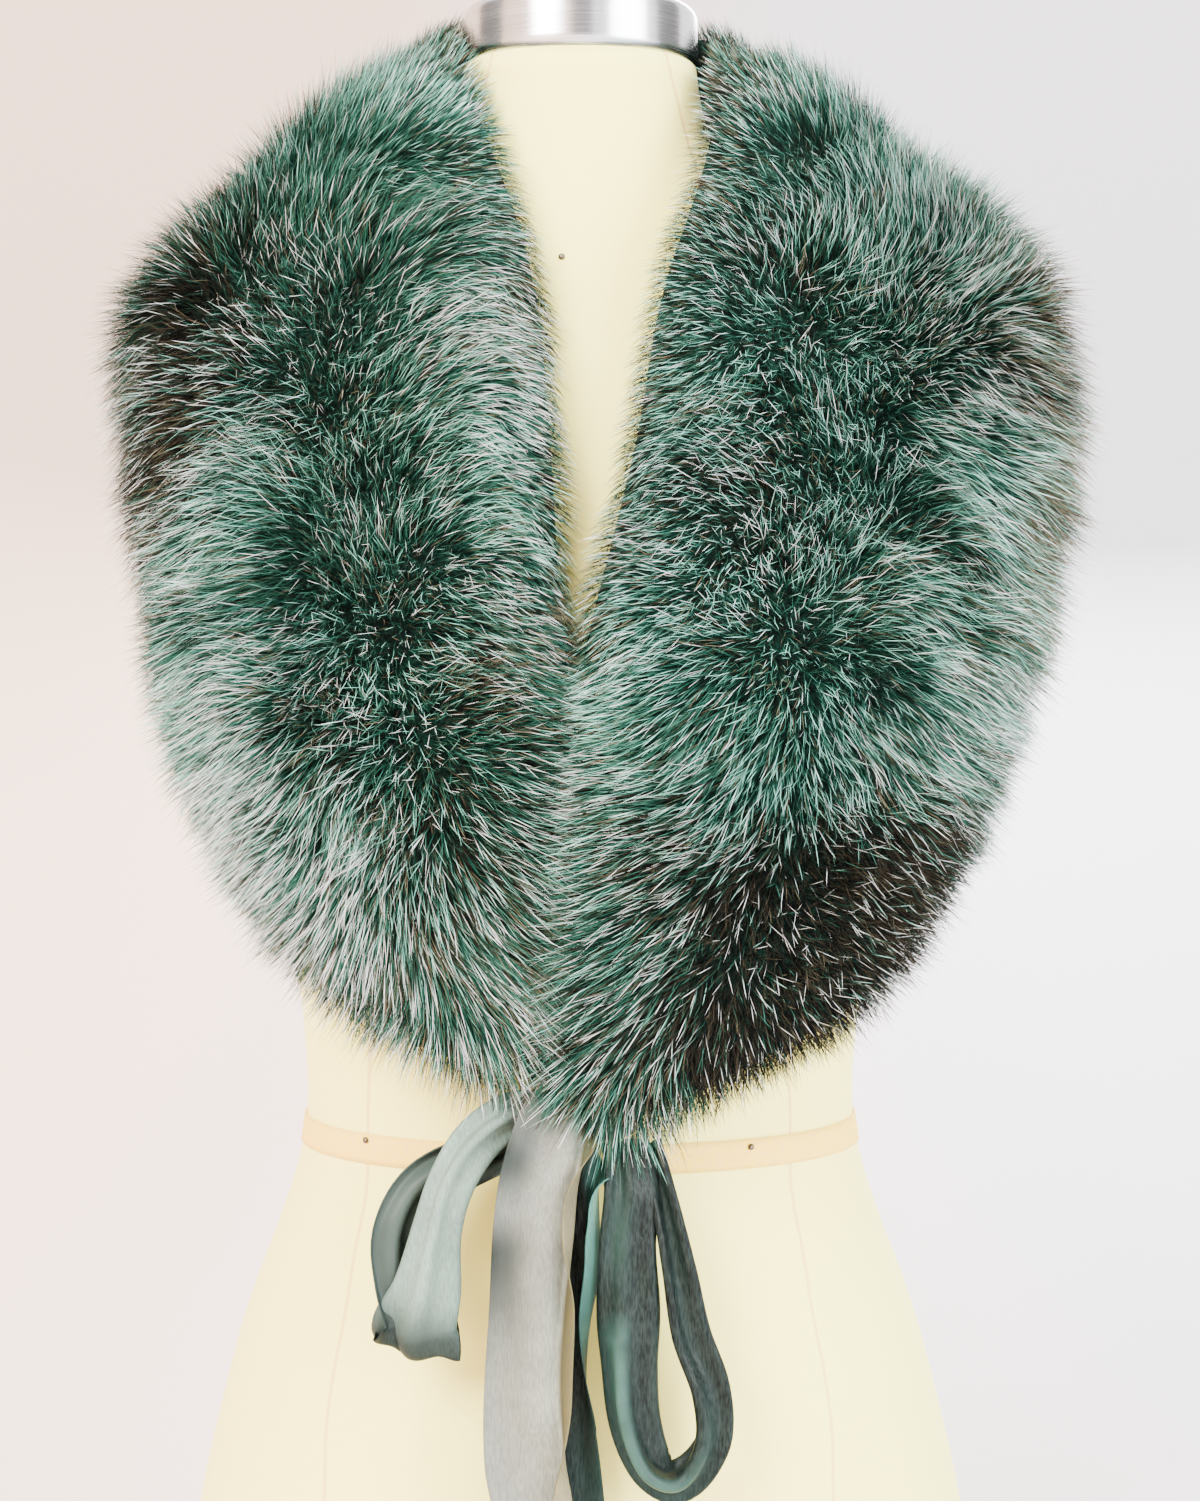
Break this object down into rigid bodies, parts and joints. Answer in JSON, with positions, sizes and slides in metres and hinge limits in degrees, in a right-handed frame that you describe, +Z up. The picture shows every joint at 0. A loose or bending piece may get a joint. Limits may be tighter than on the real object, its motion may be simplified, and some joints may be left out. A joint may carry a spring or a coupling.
{
  "type": "fur collar wrap on a dress form",
  "caption": "Deep fur collar worn round the neck of a limbless dress form and closed at the front by a satin ribbon bow.",
  "frame": {"origin": "centre of the form's flat underside, under the neck", "axes": "+Z up, the front of the form and the bow face -Y, +X to the right as seen from the front"},
  "size_m": [0.413, 0.318, 0.7823],
  "materials": {
    "form_linen": "fine cream linen, pulled tight",
    "waist_tape": "matte peach cotton tape",
    "neck_metal": "brushed round the neck",
    "fur_pile": "long dyed fur, dark green underfur with pale tips",
    "satin_ribbon": "grey green satin with an olive back"
  },
  "bodies": {
    "root": {"form_torso": "form_linen", "form_waist_tape": "waist_tape", "form_neck_cap": "neck_metal", "fur_left": "fur_pile", "fur_right": "fur_pile", "tie_left_loop": "satin_ribbon", "tie_right_loop": "satin_ribbon", "tie_tail_front": "satin_ribbon", "tie_tail_back": "satin_ribbon", "tie_left_lead": "satin_ribbon", "tie_knot": "satin_ribbon"}
  },
  "joints": []
}
